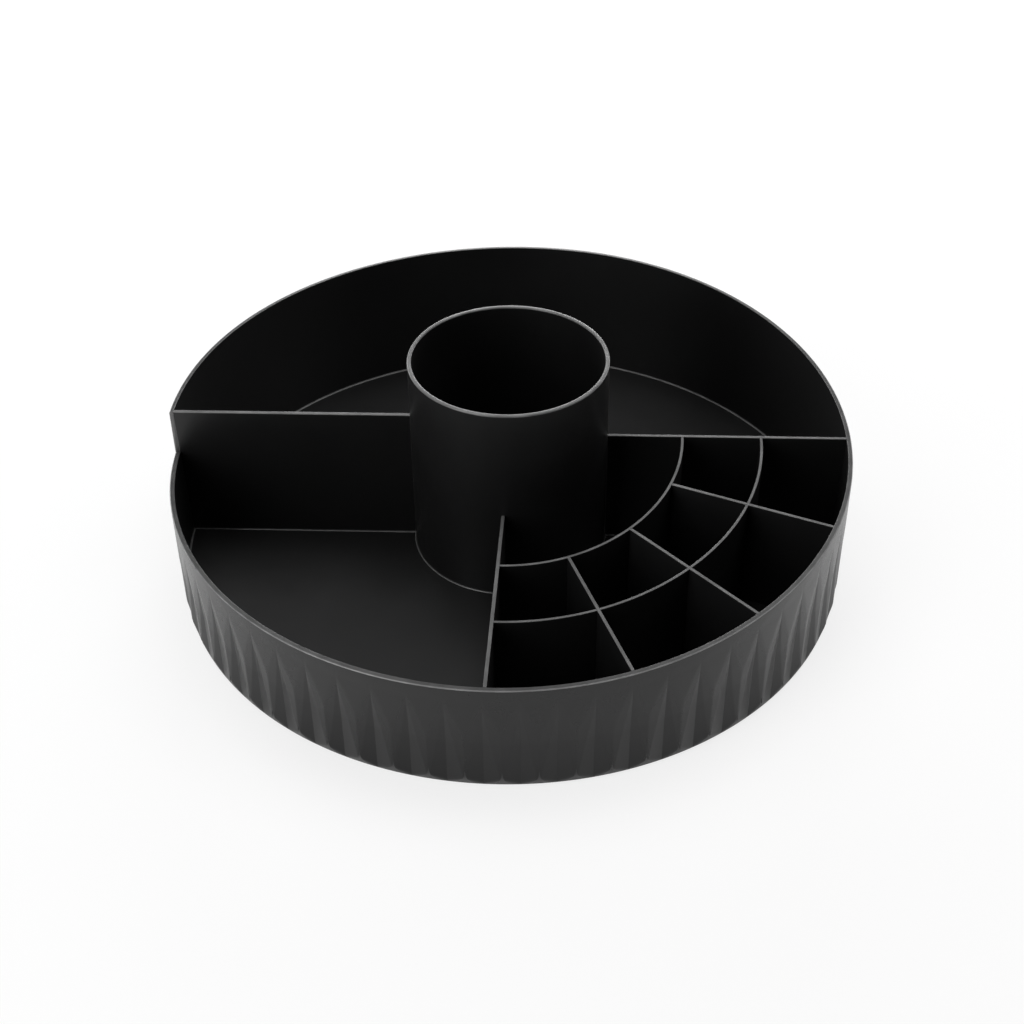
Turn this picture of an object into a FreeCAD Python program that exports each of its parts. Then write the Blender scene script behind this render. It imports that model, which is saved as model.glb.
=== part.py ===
import FreeCAD, Part
import math
import os

# Rotating makeup organizer: a round tray with a fluted wall whose rim climbs from a low front to a
# tall back, a brush cup at its centre, one tall divider, and a fan of small compartments. The tray
# turns on a caged ball race over a base disc with rubber feet.
# Millimetres, +Z up. The origin is on the table, on the turning axis. Azimuths are in degrees,
# anticlockwise seen from above, and 0 is +X, where the right divider stands.

Vector = FreeCAD.Vector

# Clearances
seat_clearance = 0.05        # fixed pieces in their seats
running_clearance = 0.05     # the pin in its bush, the balls in their grooves
cage_clearance = 0.15        # balls in the pockets of the cage
thrust_clearance = 0.3       # under the retaining washer
base_clearance = 0.5         # tray hub over the boss of the base disc

# Tray body
tray_radius = 150.0
tray_floor_thickness = 2.4
wall_at_tall_rim = 1.8
wall_at_floor = 3.0
skirt_bottom_z = 1.0
skirt_wall = 2.0             # behind the valleys, below the floor
low_rim_z = 53.0
tall_rim_z = 74.5
rim_fillet = 0.5
ramp_low_azimuth = -93.0
ramp_tall_azimuth = 79.0
seat_depth = 0.8             # grooves in the floor for the cup and the dividers

# Flutes: V grooves that open downwards, meet halfway down the wall and run straight from there
flute_count = 64
flute_azimuth = -91.88       # one valley; the others follow evenly
flute_top_gap = 6.0          # smooth band under the rim
flute_depth = 1.05           # of a valley, in the lower half of the wall
ridge_depth = 0.1            # of the ridge between two flutes, there
edge_bevel_angle = 6.8       # of the lower edge from upright; it closes at the valleys

# Ribs under the floor
rib_count = 16
rib_width = 1.6
rib_height = 3.0
rib_gap = 4.0                # from the edge of the base disc

# Brush cup
cup_radius = 43.4
cup_wall = 1.8
cup_top_z = 104.5
cup_rim_fillet = 0.5
cup_ledge_width = 1.4
cup_ledge_thickness = 1.6
cup_disc_thickness = 1.6
cup_disc_gap = 0.6           # over the head of the screw

# Dividers and compartment walls
left_divider_azimuth = 180.0
left_divider_thickness = 1.8
right_divider_azimuth = 0.0
right_divider_thickness = 1.4
front_divider_azimuth = -91.4
front_divider_thickness = 1.4
inner_arc_radius = 76.2
outer_arc_radius = 110.7
arc_thickness = 1.1
radial_thickness = 1.3
radial_azimuths = {"radial_wall_right": -22.6, "radial_wall_middle": -46.4, "radial_wall_front": -69.2}

# Base disc and feet
foot_proud = 0.8
foot_thickness = 1.6
foot_radius = 8.0
foot_inset = 16.0            # of the foot's centre from the edge of the base disc
foot_count = 6
base_inset = 32.0            # from the outside of the tray
base_thickness = 2.2
base_edge_fillet = 0.8
base_boss_radius = 12.0
base_boss_height = 1.4

# Ball race
race_circle_radius = 70.0
race_width = 9.0
race_thickness = 0.8
race_groove_depth = 0.5
lower_race_seat = 0.4
upper_race_seat = 0.7
ball_diameter = 4.0
ball_count = 20
cage_thickness = 1.6
cage_width = 8.0

# Pivot
pin_radius = 4.0
pin_flange_radius = 9.0
pin_flange_thickness = 1.2
bush_wall = 2.0
bush_flange_radius = 9.0
bush_flange_thickness = 0.8
hub_wall = 4.0
hub_height = 3.2             # above the floor
washer_radius = 9.5
washer_thickness = 0.8
screw_radius = 1.5
screw_length = 7.0
screw_head_radius = 3.6
screw_head_height = 2.0
screw_socket_radius = 1.5
screw_socket_depth = 1.1

# Heights that follow, from the table up
base_bottom_z = foot_proud
base_top_z = base_bottom_z + base_thickness
lower_race_bottom_z = base_top_z - lower_race_seat
lower_race_top_z = lower_race_bottom_z + race_thickness
ball_radius = ball_diameter / 2
ball_centre_z = lower_race_top_z - race_groove_depth + running_clearance + ball_radius
upper_race_bottom_z = ball_centre_z + ball_radius + running_clearance - race_groove_depth
upper_race_top_z = upper_race_bottom_z + race_thickness
floor_bottom_z = upper_race_top_z - upper_race_seat
floor_top_z = floor_bottom_z + tray_floor_thickness
seat_bottom_z = floor_top_z - seat_depth
base_boss_top_z = base_top_z + base_boss_height
hub_bottom_z = base_boss_top_z + base_clearance
hub_top_z = floor_top_z + hub_height
bush_top_z = hub_top_z + bush_flange_thickness
pin_top_z = bush_top_z + thrust_clearance
washer_top_z = pin_top_z + washer_thickness
screw_top_z = washer_top_z + screw_head_height
cup_disc_bottom_z = screw_top_z + cup_disc_gap
lap_joint_z = (floor_top_z + low_rim_z) / 2

# Radii that follow
base_radius = tray_radius - base_inset
foot_circle_radius = base_radius - foot_inset
cup_inner_radius = cup_radius - cup_wall
skirt_inner_radius = tray_radius - flute_depth - skirt_wall
bush_radius = pin_radius + running_clearance + bush_wall
hub_radius = bush_radius + hub_wall
half_pitch = math.radians(180.0 / flute_count)
ridge_radius = tray_radius - ridge_depth
facet_slope = ((ridge_radius * math.cos(half_pitch) - (tray_radius - flute_depth))
               / (ridge_radius * math.sin(half_pitch)))
above = 5.0                  # how far cutting tools stand past what they cut
origin = Vector(0, 0, 0)
up = Vector(0, 0, 1)


def wall_inner_radius(z):
    """The inside of the tray's wall, which leans out from the floor to the tall rim."""
    thinning = (wall_at_floor - wall_at_tall_rim) / (tall_rim_z - floor_top_z)
    return tray_radius - wall_at_floor + thinning * (z - floor_top_z)


def rim_height(azimuth):
    """Height of the rim: an even S up the ramp, tall as far as the left divider, and low beyond."""
    past_low = (azimuth - ramp_low_azimuth) % 360.0
    if past_low > (left_divider_azimuth - ramp_low_azimuth) % 360.0:
        return low_rim_z
    share = min(past_low / (ramp_tall_azimuth - ramp_low_azimuth), 1.0)
    return low_rim_z + (tall_rim_z - low_rim_z) * share * share * (3.0 - 2.0 * share)


def at(radius, azimuth, z):
    angle = math.radians(azimuth)
    return Vector(radius * math.cos(angle), radius * math.sin(angle), z)


def disc(radius, bottom_z, top_z):
    return Part.makeCylinder(radius, top_z - bottom_z, Vector(0, 0, bottom_z))


def ring(inner, outer, bottom_z, top_z):
    return disc(outer, bottom_z, top_z).cut(disc(inner, bottom_z - above, top_z + above))


def turned(points):
    """A solid of revolution from (radius, z) points."""
    corners = [Vector(radius, 0, z) for radius, z in points]
    face = Part.Face(Part.makePolygon(corners + corners[:1]))
    return face.revolve(origin, up, 360)


def turned_about_axis(shape, azimuth):
    copy = shape.copy()
    copy.rotate(origin, up, azimuth)
    return copy


def sector(radius, bottom_z, top_z, start, end):
    """A pie slice from one azimuth to another."""
    slice_shape = Part.makeCylinder(radius, top_z - bottom_z, Vector(0, 0, bottom_z), up, end - start)
    return turned_about_axis(slice_shape, start)


def radial_board(azimuth, thickness, from_radius, to_radius, bottom_z, top_z):
    """A flat upright board along one azimuth."""
    board = Part.makeBox(to_radius - from_radius, thickness, top_z - bottom_z,
                         Vector(from_radius, -thickness / 2, bottom_z))
    return turned_about_axis(board, azimuth)


def ramp_section(azimuth, inner, outer, top_z):
    z = rim_height(azimuth)
    corners = [at(inner, azimuth, z), at(outer, azimuth, z), at(outer, azimuth, top_z),
               at(inner, azimuth, top_z)]
    return Part.makePolygon(corners + corners[:1])


def headroom():
    """Everything above the rim: a level low sector, the ramp, and a level tall sector that ends at
    the front face of the left divider."""
    reach = tray_radius + above
    top_z = tall_rim_z + 2 * above
    low = sector(reach, low_rim_z, top_z, left_divider_azimuth - 360.0, ramp_low_azimuth)
    low = low.cut(radial_board(left_divider_azimuth, left_divider_thickness, 0, reach, 0, top_z))
    stations = 24
    step = (ramp_tall_azimuth - ramp_low_azimuth) / stations
    sections = [ramp_section(ramp_low_azimuth + step * k, hub_radius, reach, top_z)
                for k in range(stations + 1)]
    ramp = Part.makeLoft(sections, True)
    tall = sector(reach, tall_rim_z, top_z, ramp_tall_azimuth, left_divider_azimuth)
    tall_end = radial_board(left_divider_azimuth, left_divider_thickness, 0, reach, tall_rim_z, top_z)
    return [low, ramp, tall.fuse(tall_end)]


def flute_tool(azimuth):
    """Cuts one V groove. Its valley starts on the wall below the rim, reaches the full depth halfway
    down and runs straight to the lower edge; both facets keep the same slope."""
    top_z = rim_height(azimuth) - flute_top_gap
    full_z = (top_z + skirt_bottom_z) / 2
    low_z = skirt_bottom_z - 1.0
    margin = 0.5
    deepening = flute_depth / (top_z - full_z)
    half_width = (margin + flute_depth) / facet_slope
    outside = tray_radius + margin
    tip = Vector(outside, 0, top_z + margin / deepening)
    valley, left, right = [Vector(tray_radius - flute_depth, 0, full_z),
                           Vector(outside, half_width, full_z), Vector(outside, -half_width, full_z)]
    drop = Vector(0, 0, low_z - full_z)
    outlines = [(valley, left, tip), (valley, tip, right), (left, right, tip),
                (valley, right, right + drop, valley + drop), (valley, valley + drop, left + drop, left),
                (left, left + drop, right + drop, right), (valley + drop, right + drop, left + drop)]
    faces = [Part.Face(Part.makePolygon([*corners, corners[0]])) for corners in outlines]
    return turned_about_axis(Part.Solid(Part.Shell(faces)), azimuth)


def top_edges(shape, top_z):
    return [edge for edge in shape.Edges if edge.BoundBox.ZMin > top_z - 0.01]


def rim_edges(shape):
    """The outer edges along the top of the wall."""
    found = []
    for edge in shape.Edges:
        middle = edge.valueAt((edge.FirstParameter + edge.LastParameter) / 2)
        radius = math.hypot(middle.x, middle.y)
        if abs(radius - tray_radius) < 0.01 and middle.z > low_rim_z - 0.01 and edge.Length > above:
            found.append(edge)
    return found


def seats():
    """Grooves in the floor for the cup and for every upright wall."""
    top_z = floor_top_z + above
    cup_inside = cup_inner_radius - seat_clearance
    cutters = [ring(cup_inside, cup_radius + seat_clearance, seat_bottom_z, top_z)]
    for azimuth, thickness, from_radius in divider_places():
        cutters.append(radial_board(azimuth, thickness + 2 * seat_clearance, from_radius,
                                    tray_radius, seat_bottom_z, top_z))
    half = arc_thickness / 2 + seat_clearance
    for radius in (inner_arc_radius, outer_arc_radius):
        band = ring(radius - half, radius + half, seat_bottom_z, top_z)
        cutters.append(band.common(sector(tray_radius, seat_bottom_z, top_z,
                                          front_divider_azimuth, right_divider_azimuth)))
    inside = turned([(0, seat_bottom_z), (wall_inner_radius(seat_bottom_z), seat_bottom_z),
                     (wall_inner_radius(top_z), top_z), (0, top_z)])
    return [cutter.common(inside) for cutter in cutters]


def divider_places():
    """Azimuth, thickness and inner radius of every flat upright wall."""
    places = [(left_divider_azimuth, left_divider_thickness, cup_inner_radius),
              (right_divider_azimuth, right_divider_thickness, cup_inner_radius),
              (front_divider_azimuth, front_divider_thickness, cup_inner_radius)]
    for azimuth in radial_azimuths.values():
        places.append((azimuth, radial_thickness, inner_arc_radius))
    return places


def edge_bevel():
    """What the lower edge of the wall loses: a cone that only just touches the valleys."""
    valley_radius = tray_radius - flute_depth
    widest = tray_radius + above
    top_z = skirt_bottom_z + (widest - valley_radius) / math.tan(math.radians(edge_bevel_angle))
    return turned([(valley_radius, skirt_bottom_z), (widest, top_z),
                   (widest, skirt_bottom_z - above), (valley_radius, skirt_bottom_z - above)])


def floor_ribs():
    """Radial ribs under the floor, between the base disc and the skirt."""
    pitch = 360.0 / rib_count
    return [radial_board(pitch * (k + 0.5), rib_width, base_radius + rib_gap,
                         skirt_inner_radius + skirt_wall / 2,
                         floor_bottom_z - rib_height, floor_bottom_z) for k in range(rib_count)]


def tray_shell(tops):
    floor_edge = wall_inner_radius(floor_top_z)
    open_z = tall_rim_z + above
    profile = [(0, floor_bottom_z), (skirt_inner_radius, floor_bottom_z),
               (skirt_inner_radius, skirt_bottom_z), (tray_radius, skirt_bottom_z),
               (tray_radius, open_z), (wall_inner_radius(open_z), open_z),
               (floor_edge, floor_top_z), (0, floor_top_z)]
    shell = turned(profile).cut(tops)
    shell = shell.makeFillet(rim_fillet, rim_edges(shell))
    pitch = 360.0 / flute_count
    shell = shell.cut([flute_tool(flute_azimuth + pitch * k) for k in range(flute_count)] + [edge_bevel()])
    shell = shell.fuse(floor_ribs() + [disc(hub_radius, hub_bottom_z, hub_top_z)])
    shell = shell.cut(disc(bush_radius + seat_clearance, hub_bottom_z - above, hub_top_z + above))
    shell = shell.cut(ring(race_circle_radius - race_width / 2 - seat_clearance,
                           race_circle_radius + race_width / 2 + seat_clearance,
                           floor_bottom_z - above, upper_race_top_z))
    return shell.cut(seats())


def inside_tray():
    """The room in which the dividers stand: within the wall and outside the cup."""
    low, high = seat_bottom_z, tall_rim_z + above
    room = turned([(0, low), (wall_inner_radius(low) - seat_clearance, low),
                   (wall_inner_radius(high) - seat_clearance, high), (0, high)])
    return room.cut(disc(cup_radius + seat_clearance, low - above, high + above))


def divider(azimuth, thickness, tops, room):
    board = radial_board(azimuth, thickness, 0.0, tray_radius, seat_bottom_z, tall_rim_z + above)
    return board.common(room).cut(tops)


def arc_wall(radius, tops, room):
    """A curved wall between the right and the front divider."""
    top_z = tall_rim_z + above
    band = ring(radius - arc_thickness / 2, radius + arc_thickness / 2, seat_bottom_z, top_z)
    band = band.common(sector(tray_radius, seat_bottom_z, top_z, front_divider_azimuth,
                              right_divider_azimuth))
    for azimuth, thickness in ((right_divider_azimuth, right_divider_thickness),
                               (front_divider_azimuth, front_divider_thickness)):
        band = band.cut(radial_board(azimuth, thickness + 2 * seat_clearance, 0.0, tray_radius,
                                     seat_bottom_z - above, top_z + above))
    return band.common(room).cut(tops)


def outer_arc_wall(tops, room):
    """The outer arc, notched from above where the radial walls hook over it."""
    wall = arc_wall(outer_arc_radius, tops, room)
    for azimuth in radial_azimuths.values():
        wall = wall.cut(radial_board(azimuth, radial_thickness + 2 * seat_clearance,
                                     outer_arc_radius - above, outer_arc_radius + above,
                                     lap_joint_z, tall_rim_z + above))
    return wall


def radial_wall(azimuth, tops, room):
    """A wall from the inner arc to the rim, notched from below over the outer arc."""
    wall = divider(azimuth, radial_thickness, tops, room)
    wall = wall.cut(disc(inner_arc_radius + arc_thickness / 2 + seat_clearance,
                         seat_bottom_z - above, tall_rim_z + 2 * above))
    half = arc_thickness / 2 + seat_clearance
    return wall.cut(ring(outer_arc_radius - half, outer_arc_radius + half,
                         seat_bottom_z - above, lap_joint_z + seat_clearance))


def centre_cup():
    """An open tube that stands in the floor, with a ledge inside for its floor disc."""
    tube = ring(cup_inner_radius, cup_radius, seat_bottom_z, cup_top_z)
    tube = tube.makeFillet(cup_rim_fillet, top_edges(tube, cup_top_z))
    ledge = ring(cup_inner_radius - cup_ledge_width, cup_inner_radius + cup_wall / 2,
                 cup_disc_bottom_z - cup_ledge_thickness, cup_disc_bottom_z)
    return tube.fuse(ledge)


def cup_floor_disc():
    return disc(cup_inner_radius - seat_clearance, cup_disc_bottom_z,
                cup_disc_bottom_z + cup_disc_thickness)


def base_disc():
    plate = disc(base_radius, base_bottom_z, base_top_z)
    plate = plate.makeFillet(base_edge_fillet, top_edges(plate, base_top_z))
    plate = plate.fuse(disc(base_boss_radius, base_top_z, base_boss_top_z))
    plate = plate.cut(ring(race_circle_radius - race_width / 2 - seat_clearance,
                           race_circle_radius + race_width / 2 + seat_clearance,
                           lower_race_bottom_z, base_top_z + above))
    plate = plate.cut(disc(pin_radius + seat_clearance, base_bottom_z - above, base_boss_top_z + above))
    plate = plate.cut(disc(pin_flange_radius + seat_clearance, base_bottom_z - above,
                           base_bottom_z + pin_flange_thickness))
    for foot in feet(seat_clearance):
        plate = plate.cut(foot)
    return plate


def feet(extra=0.0):
    """Round rubber pads set into the underside of the base disc."""
    pads = []
    for k in range(foot_count):
        centre = at(foot_circle_radius, 360.0 / foot_count * k, 0)
        pads.append(Part.makeCylinder(foot_radius + extra, foot_thickness, centre))
    return pads


def race_ring(bottom_z):
    flat = ring(race_circle_radius - race_width / 2, race_circle_radius + race_width / 2,
                bottom_z, bottom_z + race_thickness)
    groove = Part.makeTorus(race_circle_radius, ball_radius + running_clearance,
                            Vector(0, 0, ball_centre_z))
    return flat.cut(groove)


def balls():
    centres = [at(race_circle_radius, 360.0 / ball_count * k, ball_centre_z) for k in range(ball_count)]
    return [Part.makeSphere(ball_radius, centre) for centre in centres]


def ball_cage():
    half = cage_thickness / 2
    cage = ring(race_circle_radius - cage_width / 2, race_circle_radius + cage_width / 2,
                ball_centre_z - half, ball_centre_z + half)
    for k in range(ball_count):
        centre = at(race_circle_radius, 360.0 / ball_count * k, ball_centre_z - half - above)
        cage = cage.cut(Part.makeCylinder(ball_radius + cage_clearance, 4 * above, centre))
    return cage


def hub_bush():
    sleeve = ring(pin_radius + running_clearance, bush_radius, hub_bottom_z, bush_top_z)
    return sleeve.fuse(ring(pin_radius + running_clearance, bush_flange_radius, hub_top_z, bush_top_z))


def pivot_pin():
    pin = disc(pin_radius, base_bottom_z, pin_top_z)
    pin = pin.fuse(disc(pin_flange_radius, base_bottom_z, base_bottom_z + pin_flange_thickness))
    hole_bottom_z = washer_top_z - screw_length - screw_radius
    return pin.cut(disc(screw_radius + seat_clearance, hole_bottom_z, pin_top_z + above))


def retaining_washer():
    return ring(screw_radius + seat_clearance, washer_radius, pin_top_z, washer_top_z)


def retaining_screw():
    head = disc(screw_head_radius, washer_top_z, screw_top_z)
    head = head.makeFillet(screw_head_height / 3, top_edges(head, screw_top_z))
    screw = head.fuse(disc(screw_radius, washer_top_z - screw_length, washer_top_z))
    return screw.cut(hexagon_socket())


def hexagon_socket():
    corners = [at(screw_socket_radius, 60.0 * k, screw_top_z - screw_socket_depth) for k in range(6)]
    face = Part.Face(Part.makePolygon(corners + corners[:1]))
    return face.extrude(Vector(0, 0, above))


def write(node, shape):
    shape.exportStep(os.path.join("parts", node + ".step"))
    print(node, "valid" if shape.isValid() else "INVALID", len(shape.Solids), "solids, volume",
          round(shape.Volume, 1))


def main():
    os.makedirs("parts", exist_ok=True)
    tops = headroom()
    room = inside_tray()
    write("tray_shell", tray_shell(tops))
    write("centre_cup", centre_cup())
    write("cup_floor_disc", cup_floor_disc())
    write("left_divider", divider(left_divider_azimuth, left_divider_thickness, tops, room))
    write("right_divider", divider(right_divider_azimuth, right_divider_thickness, tops, room))
    write("front_divider", divider(front_divider_azimuth, front_divider_thickness, tops, room))
    write("inner_arc_wall", arc_wall(inner_arc_radius, tops, room))
    write("outer_arc_wall", outer_arc_wall(tops, room))
    for node, azimuth in radial_azimuths.items():
        write(node, radial_wall(azimuth, tops, room))
    write("hub_bush", hub_bush())
    write("upper_race", race_ring(upper_race_bottom_z))
    write("ball_cage", ball_cage())
    write("bearing_balls", Part.Compound(balls()))
    write("lower_race", race_ring(lower_race_bottom_z))
    write("base_disc", base_disc())
    write("pivot_pin", pivot_pin())
    write("retaining_washer", retaining_washer())
    write("retaining_screw", retaining_screw())
    write("rubber_feet", Part.Compound(feet()))


main()
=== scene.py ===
import math

import bpy
from bpy.props import FloatProperty, FloatVectorProperty, IntProperty, PointerProperty
from mathutils import Matrix, Vector


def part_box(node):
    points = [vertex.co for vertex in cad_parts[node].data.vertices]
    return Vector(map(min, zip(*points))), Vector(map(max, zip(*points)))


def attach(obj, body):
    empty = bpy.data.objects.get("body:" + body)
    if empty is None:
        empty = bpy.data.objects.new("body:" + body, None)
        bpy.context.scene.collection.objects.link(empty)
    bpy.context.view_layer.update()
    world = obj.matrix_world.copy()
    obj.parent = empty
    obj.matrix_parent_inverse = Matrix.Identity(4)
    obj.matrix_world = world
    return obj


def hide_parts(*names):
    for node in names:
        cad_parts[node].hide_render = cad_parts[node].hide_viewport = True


bl_info = {
    "name": "Turning Makeup Organizer",
    "version": (1, 0, 0),
    "blender": (4, 5, 0),
    "location": "3D View > Sidebar > Organizer",
    "description": "Builds the pieces, finishes and stage of a turning makeup organizer",
    "category": "Add Mesh",
}

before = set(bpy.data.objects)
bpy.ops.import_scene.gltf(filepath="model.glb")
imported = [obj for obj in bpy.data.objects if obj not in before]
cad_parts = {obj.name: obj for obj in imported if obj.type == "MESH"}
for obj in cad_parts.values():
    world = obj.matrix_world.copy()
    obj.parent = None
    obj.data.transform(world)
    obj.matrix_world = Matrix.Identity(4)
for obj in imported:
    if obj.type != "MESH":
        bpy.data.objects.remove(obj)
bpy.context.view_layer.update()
node_boxes = {node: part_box(node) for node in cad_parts}

MM = 0.001
TINY = 1e-6                  # slack where two places are compared, in metres or degrees
STEP_SLACK = 0.01            # degrees beside the step of the rim that count as the step
HIGHLIGHT_BAND = 0.25 * MM        # how far the painted highlight of an edge runs onto the faces beside it
SMOOTH_ANGLE = math.radians(38)


def box_bottom(node):
    return node_boxes[node][0].z


def box_top(node):
    return node_boxes[node][1].z


def box_reach(node):
    """How far a round node reaches from the turning axis."""
    return node_boxes[node][1].x


def length(name, default, description):
    return FloatProperty(name=name, default=default, description=description, unit='LENGTH',
                         precision=5)


def degrees(name, default, description):
    return FloatProperty(name=name, default=default, description=description)


def colour(name, default, description):
    return FloatVectorProperty(name=name, default=default, description=description, size=3,
                               subtype='COLOR', min=0.0, max=1.0)


class OrganizerTraySizes(bpy.types.PropertyGroup):
    radius: length("Radius", box_reach("tray_shell"), "Outside of the smooth rim")
    bottom: length("Lower edge", box_bottom("tray_shell"), "Height of the wall's lower edge")
    tall_rim: length("Tall rim", box_top("tray_shell"), "Height of the rim at the back")
    low_rim: length("Low rim", 53.0 * MM, "Height of the rim at the front left")
    ramp_low: degrees("Ramp low end", -93.0, "Azimuth where the rim starts to climb")
    ramp_tall: degrees("Ramp tall end", 79.0, "Azimuth where the rim is tall")
    wall_at_rim: length("Wall at the tall rim", 1.8 * MM, "Thickness of the wall at its top")
    wall_at_floor: length("Wall at the floor", 3.0 * MM, "Thickness of the wall at its foot")
    seat_depth: length("Seat depth", 0.8 * MM, "How deep the cup and dividers stand in the floor")
    floor_thickness: length("Floor thickness", 2.4 * MM, "Thickness of the tray floor")
    skirt_wall: length("Skirt wall", 4.1 * MM, "From the outside of the rim to the skirt's inside")
    rim_fillet: length("Rim fillet", 0.5 * MM, "Rounding of the outer edge of the rim")
    inner_fillet: length("Inner fillet", 0.25 * MM, "Rounding of the inner edge of the rim")
    cove: length("Cove", 0.55 * MM, "Width of the cove and the beads along the floor's joints")
    hub_wall: length("Hub wall", 1.05 * MM, "From the bush's flange to the outside of the hub")
    bore: length("Bore", 6.1 * MM, "Radius of the hole for the bush")
    flange: length("Bush flange", 0.8 * MM, "Thickness of the flange that lies on the hub")
    race_width: length("Race width", 9.0 * MM, "Width of the race in its groove")
    rib_count: IntProperty(name="Ribs", default=16, description="Ribs under the floor")
    rib_height: length("Rib height", 3.0 * MM, "How far the ribs hang under the floor")
    rib_thickness: length("Rib thickness", 1.6 * MM, "Thickness of the ribs")
    rib_gap: length("Rib gap", 4.0 * MM, "From the base disc to the ribs")


class OrganizerFluteSizes(bpy.types.PropertyGroup):
    count: IntProperty(name="Count", default=64, description="Flutes round the wall")
    azimuth: degrees("Azimuth", -91.88, "Azimuth of one valley")
    top_gap: length("Smooth band", 6.0 * MM, "From the rim down to the tips of the flutes")
    depth: length("Depth", 1.05 * MM, "Depth of a valley in the lower half of the wall")
    ridge_depth: length("Ridge depth", 0.1 * MM, "Depth of the ridge between two flutes")
    bevel_angle: degrees("Bevel angle", 6.8, "Bevel of the lower edge from upright")
    crease: length("Crease", 0.12 * MM, "Half the width of the rounded valleys")
    softness: length("Softness", 0.9 * MM, "Half the width of the rounded ridges")
    crispness: FloatProperty(name="Crispness", default=1.5,
                             description="How strongly the flutes catch the light")


class OrganizerCupSizes(bpy.types.PropertyGroup):
    radius: length("Radius", box_reach("centre_cup"), "Outside of the cup")
    top: length("Top", box_top("centre_cup"), "Height of the cup's rim")
    wall: length("Wall", 1.8 * MM, "Thickness of the cup")
    rim_fillet: length("Rim fillet", 0.55 * MM, "Rounding of both edges of the rim")
    ledge_width: length("Ledge width", 1.4 * MM, "Ledge that carries the floor disc")
    ledge_thickness: length("Ledge thickness", 1.6 * MM, "Thickness of that ledge")
    disc_chamfer: length("Disc chamfer", 0.3 * MM, "Chamfer round the floor disc")
    gate: length("Gate", 1.5 * MM, "Radius of the gate recess in the middle of the disc")
    gate_depth: length("Gate depth", 0.4 * MM, "Depth of that recess")


class OrganizerDividerSizes(bpy.types.PropertyGroup):
    left: degrees("Left divider", 180.0, "Azimuth")
    right: degrees("Right divider", 0.0, "Azimuth")
    front: degrees("Front divider", -91.4, "Azimuth")
    wall_right: degrees("Right radial wall", -22.6, "Azimuth")
    wall_middle: degrees("Middle radial wall", -46.4, "Azimuth")
    wall_front: degrees("Front radial wall", -69.2, "Azimuth")
    left_thickness: length("Left thickness", 1.8 * MM, "Thickness of the tall divider")
    thickness: length("Thickness", 1.4 * MM, "Thickness of the right and front dividers")
    radial_thickness: length("Radial thickness", 1.3 * MM, "Thickness of the radial walls")
    arc_thickness: length("Arc thickness", 1.1 * MM, "Thickness of the curved walls")
    inner_arc: length("Inner arc", 76.2 * MM, "Radius of the inner curved wall")
    outer_arc: length("Outer arc", 110.7 * MM, "Radius of the outer curved wall")
    top_fillet: length("Top fillet", 0.15 * MM, "Rounding of the top edges")
    clearance: length("Clearance", 0.05 * MM, "Gap where pieces meet")


class OrganizerFeetSizes(bpy.types.PropertyGroup):
    count: IntProperty(name="Count", default=6, description="Feet round the base disc")
    radius: length("Radius", 8.0 * MM, "Outside of a foot")
    edge: length("Edge", 0.35 * MM, "Chamfer of a foot and depth of its grooves")
    groove: length("Groove", 0.9 * MM, "Width of a groove at the bottom of a foot")
    pitch: length("Pitch", 1.8 * MM, "From the outside of one groove to the next")


class OrganizerFinish(bpy.types.PropertyGroup):
    tray: colour("Tray", (0.0065, 0.0065, 0.0067), "Plastic of the tray")
    cup: colour("Cup", (0.0065, 0.0065, 0.0067), "Plastic of the cup")
    divider: colour("Dividers", (0.0065, 0.0065, 0.0067), "Plastic of the dividers")
    base: colour("Base", (0.022, 0.022, 0.0225), "Plastic of the base disc")
    # Painted highlight: these light greys go on the rounded tops, the rim and the joint lines, where
    # the edges would catch the softboxes
    painted_highlight: colour("Painted edge highlight", (0.15, 0.15, 0.15), "Plastic lightened as painted highlight on edges")
    rim_highlight_grey: colour("Painted rim highlight", (0.25, 0.25, 0.25), "Plastic lightened as painted highlight on the tray's rim")
    nylon: colour("Nylon", (0.72, 0.70, 0.64), "Cage and bush")
    steel: colour("Steel", (0.60, 0.60, 0.61), "Races and pin")
    zinc: colour("Zinc", (0.66, 0.67, 0.69), "Washer and screw")
    rubber: colour("Rubber", (0.028, 0.028, 0.028), "Feet")
    floor: colour("Floor", (0.88, 0.88, 0.88), "Floor under the object")


class OrganizerLight(bpy.types.PropertyGroup):
    softbox: length("Softbox", 0.8, "Side of the square softboxes")
    distance: length("Distance", 1.5, "From the tray to a softbox")
    aim: length("Aim", 30.0 * MM, "Height that the softboxes face")
    room: FloatProperty(name="Room", default=0.01, description="Light of the dark room")
    room_mirrored: FloatProperty(name="Room in reflections", default=0.05,
                                 description="Share of white that reflections show of the room")
    floor_seen: FloatProperty(name="Floor", default=0.78,
                              description="Share of white that the camera sees on the floor")
    floor_mirrored: FloatProperty(name="Floor in reflections", default=0.2,
                                  description="Share of white that reflections show of the floor")


class OrganizerView(bpy.types.PropertyGroup):
    position: FloatVectorProperty(name="Camera", default=(0.02823, -0.60416, 0.49778), size=3,
                                  description="Camera position", subtype='TRANSLATION', precision=5)
    pitch: degrees("Pitch", 38.261, "How far the camera looks down")
    heading: degrees("Heading", 2.599, "How far the camera looks to the left of +Y")
    roll: degrees("Roll", -0.679, "Roll of the camera")
    lens: FloatProperty(name="Lens", default=59.13, description="Focal length in millimetres")


def sizes(group):
    return getattr(bpy.context.scene, "organizer_" + group)


def point(radius, azimuth, z):
    angle = math.radians(azimuth)
    return Vector((radius * math.cos(angle), radius * math.sin(angle), z))


def directions(azimuth):
    """Unit vectors along an azimuth and across it."""
    return point(1.0, azimuth, 0.0), point(1.0, azimuth + 90.0, 0.0)


def floor_height():
    """Top of the tray floor: the left divider stands in it by the depth of a seat."""
    return box_bottom("left_divider") + sizes("tray").seat_depth


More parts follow.
